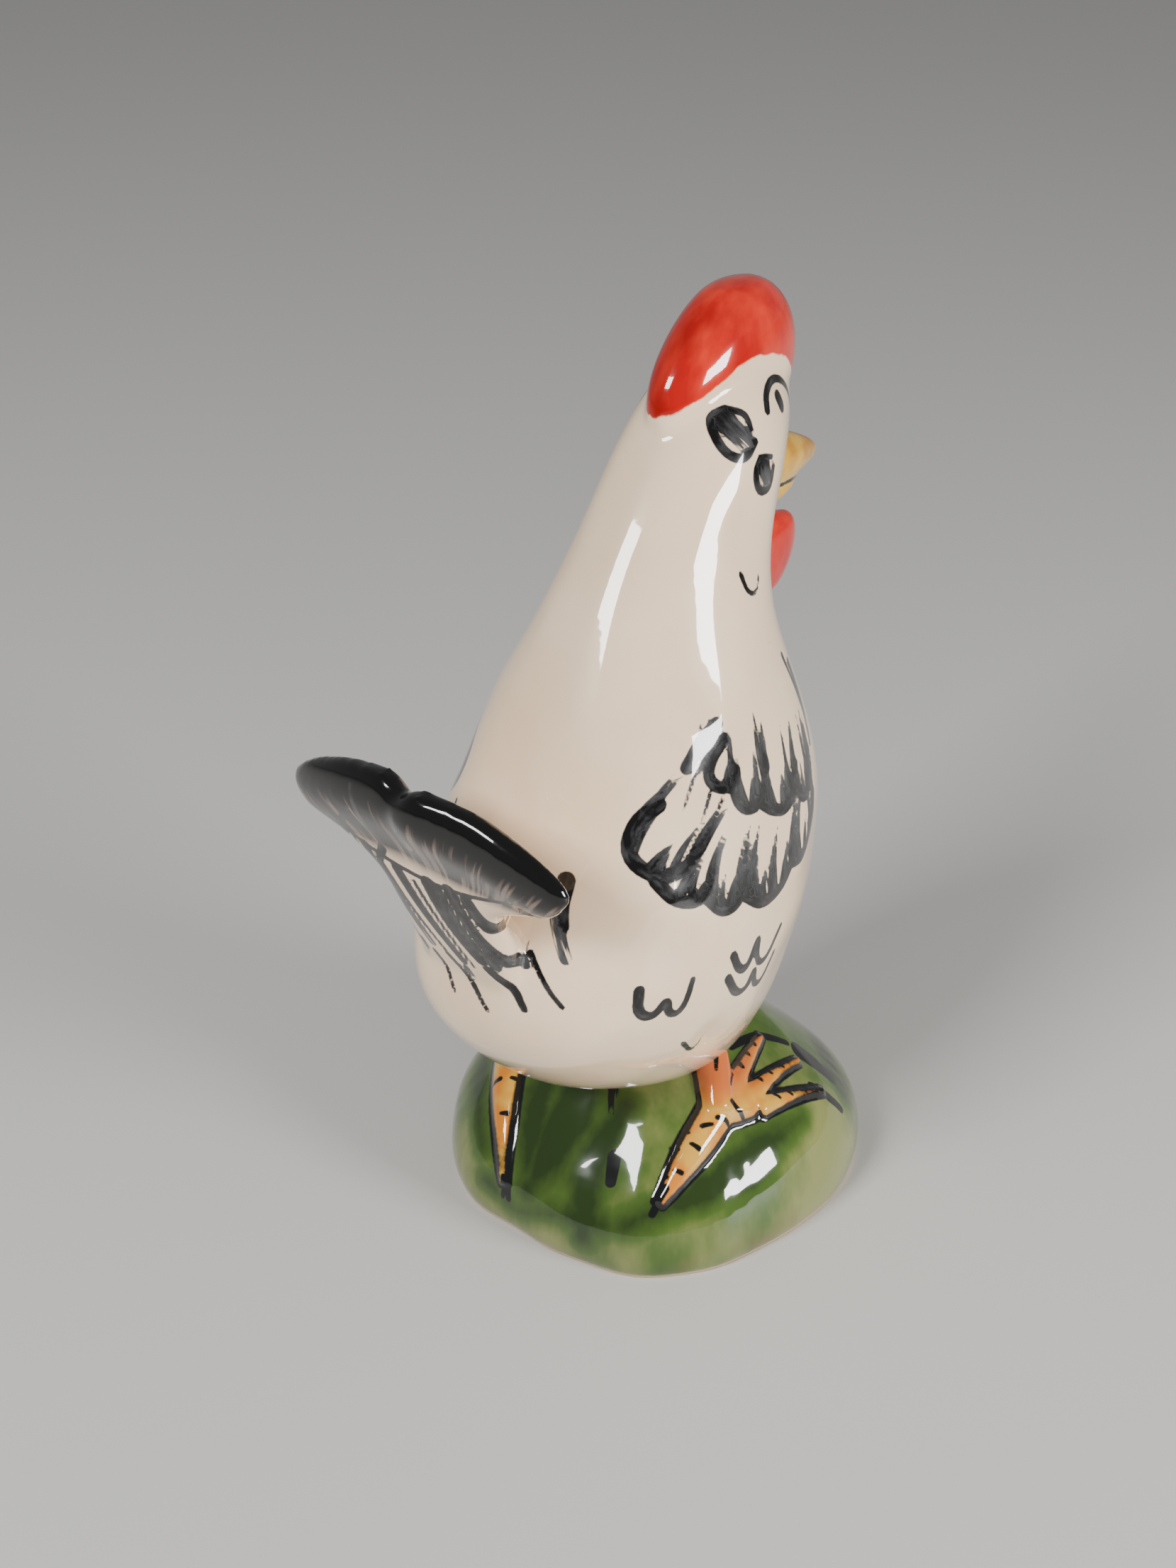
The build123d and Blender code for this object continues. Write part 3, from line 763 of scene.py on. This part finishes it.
def ground_glaze(name):
    """Green over the mound, pooled dark in its hollows, with ochre feet outlined in black."""
    glaze = Glaze(name)
    _, _, height = glaze.split(glaze.place)
    height = height * 1000
    runs = glaze.noise(1.0, 4, glaze.stretched(75, 75, 28), 0.6)
    cloud = glaze.noise(34, 3)
    pool = glaze.attribute("pool_gap").between(3.5, -1.5)
    pressed = glaze.attribute("pressed")
    slope = height.between(22, 5)
    deep = (runs * 0.9 + cloud * 0.5 + pool * 0.42 + pressed * 0.16 - slope * 0.22).between(0.42, 1.10)
    green = glaze.mix(deep.between(0.0, 0.5), paint(0.50, 0.52, 0.30), paint(0.27, 0.37, 0.14))
    green = glaze.mix(deep.between(0.5, 1.1), green, paint(0.10, 0.165, 0.06))
    brown = glaze.noise(60, 2).between(0.55, 0.70) * height.between(8, 2)
    green = glaze.mix(brown * 0.6, green, paint(0.42, 0.33, 0.18))
    fray = (glaze.noise(700, 2) - 0.5) * 0.6
    bare = (height + fray * 0.8).between(1.5, 0.8)
    green = glaze.mix(bare, green, paint(0.74, 0.64, 0.49))

    limb = glaze.attribute("limb_paint") + fray * 0.4
    ochre = glaze.mix(
        glaze.noise(150, 2).between(0.42, 0.6), paint(0.82, 0.50, 0.13), paint(0.83, 0.63, 0.24)
    )
    ochre = glaze.mix((height + cloud * 10).between(36, 41), ochre, paint(0.80, 0.42, 0.20))
    colour = glaze.mix(limb.between(-0.1, 0.2), green, ochre)
    outline = limb.size().between(0.95, 0.65)
    across, way, dry = glaze.split(glaze.attribute("ink_grain", "Vector"))
    hairs = glaze.noise(1.0, 2, glaze.joined(across * 1.6, way * 0.10, 0.0))
    cover = (hairs - dry * 0.62).between(-0.04, 0.06)
    ink = (glaze.attribute("ink_gap") + fray * 0.35).between(0.15, -0.12) * cover
    colour = glaze.mix(outline.at_least(ink) * (1 - bare), colour, paint(0.05, 0.055, 0.06))
    waves = glaze.noise(70, 2) * 0.8 + glaze.noise(420, 1) * 0.03
    return glaze.fire(colour, bare * 0.6 + 0.12, waves)


# ---- Cutting the skin into its pieces --------------------------------------------------------
# Each piece takes the skin nearest to its own clay, and is closed again where it was luted on.

# For each raw piece: its node, its colour slot, and the point inside that its cut closes to.
PIECES = {
    "body": ("body_shell", "cream_glaze", (0, -20, 160)),
    "comb": ("comb", "red_glaze", (0, -25, 172)),
    "tail": ("tail_fan", "black_glaze", (0, 38, 82)),
    "upper_beak": ("upper_beak", "yellow_glaze", (0, -38, 152)),
    "lower_beak": ("lower_beak", "yellow_glaze", (0, -36, 147)),
    "left_wattle": ("left_wattle", "red_glaze", (2, -32, 134)),
    "right_wattle": ("right_wattle", "red_glaze", (-2, -32, 134)),
    "base_mound": ("base_mound", "green_glaze", (0, -12, 22)),
    "left_foot": ("left_foot", "orange_glaze", (23, 0, 20)),
    "right_foot": ("right_foot", "orange_glaze", (-23, 0, 20)),
    "left_shank": ("left_shank", "orange_glaze", (21, -3, 31)),
    "right_shank": ("right_shank", "orange_glaze", (-21, -3, 31)),
}


def cut_out(skin, owner, part, name, inward):
    """The faces of one part, closed by a cone of clay that ends inside at the inward place."""
    mesh = bmesh.new()
    mesh.from_mesh(skin.data)
    mesh.faces.ensure_lookup_table()
    bmesh.ops.delete(mesh, geom=[f for f in mesh.faces if owner[f.index] != part], context="FACES")
    rim = [edge for edge in mesh.edges if edge.is_boundary]
    apex = mesh.verts.new(Vector(inward) * mm)
    for edge in rim:
        mesh.faces.new((*edge.verts, apex))
    bmesh.ops.recalc_face_normals(mesh, faces=mesh.faces)
    data = bpy.data.meshes.new(name)
    mesh.to_mesh(data)
    mesh.free()
    for face in data.polygons:
        face.use_smooth = True
    # The skin keeps the normals it had in one piece, so no seam shows where it was cut.
    whole = data.attributes["skin_normal"].data
    tip = len(data.vertices) - 1
    data.normals_split_custom_set([
        face.normal if tip in face.vertices else whole[vertex].vector
        for face in data.polygons for vertex in face.vertices
    ])
    piece = bpy.data.objects.new(name, data)
    bpy.context.collection.objects.link(piece)
    return piece


for skin, near, dress in ((bird_skin, bird_near, hen_glaze), (base_skin, base_near, ground_glaze)):
    put(skin, "skin_normal", [tuple(vert.normal) for vert in skin.data.vertices], "FLOAT_VECTOR")
    vertex_owner = [min(near, key=lambda part: near[part][i]) for i in range(len(skin.data.vertices))]
    face_owner = []
    for face in skin.data.polygons:
        owners = [vertex_owner[i] for i in face.vertices]
        face_owner.append(max(set(owners), key=lambda part: (owners.count(part), part)))
    for part in near:
        node, slot, inward = PIECES[part]
        piece = cut_out(skin, face_owner, part, f"{node}_glazed", inward)
        piece.data.materials.append(dress(f"{node}_glaze"))
        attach(piece, "root")
        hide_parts(node)
for form in (*bird_clay.values(), *base_clay.values(), bird_skin, base_skin):
    bpy.data.objects.remove(form)

# ---- Stage -----------------------------------------------------------------------------------
# A pale floor, one soft lamp high behind the hen and one low on its right, and a dim even surround.

bpy.ops.mesh.primitive_plane_add(size=6)
floor = bpy.context.object
floor.name = "floor"
material = bpy.data.materials.new("floor")
material.use_nodes = True
material.node_tree.nodes["Principled BSDF"].inputs["Base Color"].default_value = (0.62, 0.61, 0.59, 1)
floor.data.materials.append(material)
camera = bpy.data.objects.new("camera", bpy.data.cameras.new("camera"))
bpy.context.collection.objects.link(camera)
camera.location = (-0.2304, 0.2853, 0.3181)
camera.rotation_euler = (math.radians(59), 0, math.radians(220))
camera.data.lens = 50
camera.data.sensor_fit = "VERTICAL"
camera.data.sensor_height = 36
bpy.context.scene.camera = camera
LAMP_REACH = 0.85
for turn, height, wide, tall, power in ((176, 0.78, 0.36, 0.22, 11), (279, 0.27, 0.30, 0.18, 9)):
    bpy.ops.object.light_add(type="AREA")
    light = bpy.context.object
    light.data.shape = "RECTANGLE"
    light.data.size, light.data.size_y, light.data.energy = wide, tall, power
    a = math.radians(turn)
    light.location = (math.sin(a) * LAMP_REACH, -math.cos(a) * LAMP_REACH, height)
    light.rotation_euler = (Vector((0, 0, 0.1)) - light.location).to_track_quat("-Z", "Y").to_euler()
world = bpy.data.worlds.new("world")
world.use_nodes = True
world.node_tree.nodes["Background"].inputs["Color"].default_value = (0.8, 0.8, 0.8, 1)
world.node_tree.nodes["Background"].inputs["Strength"].default_value = 0.32
bpy.context.scene.world = world
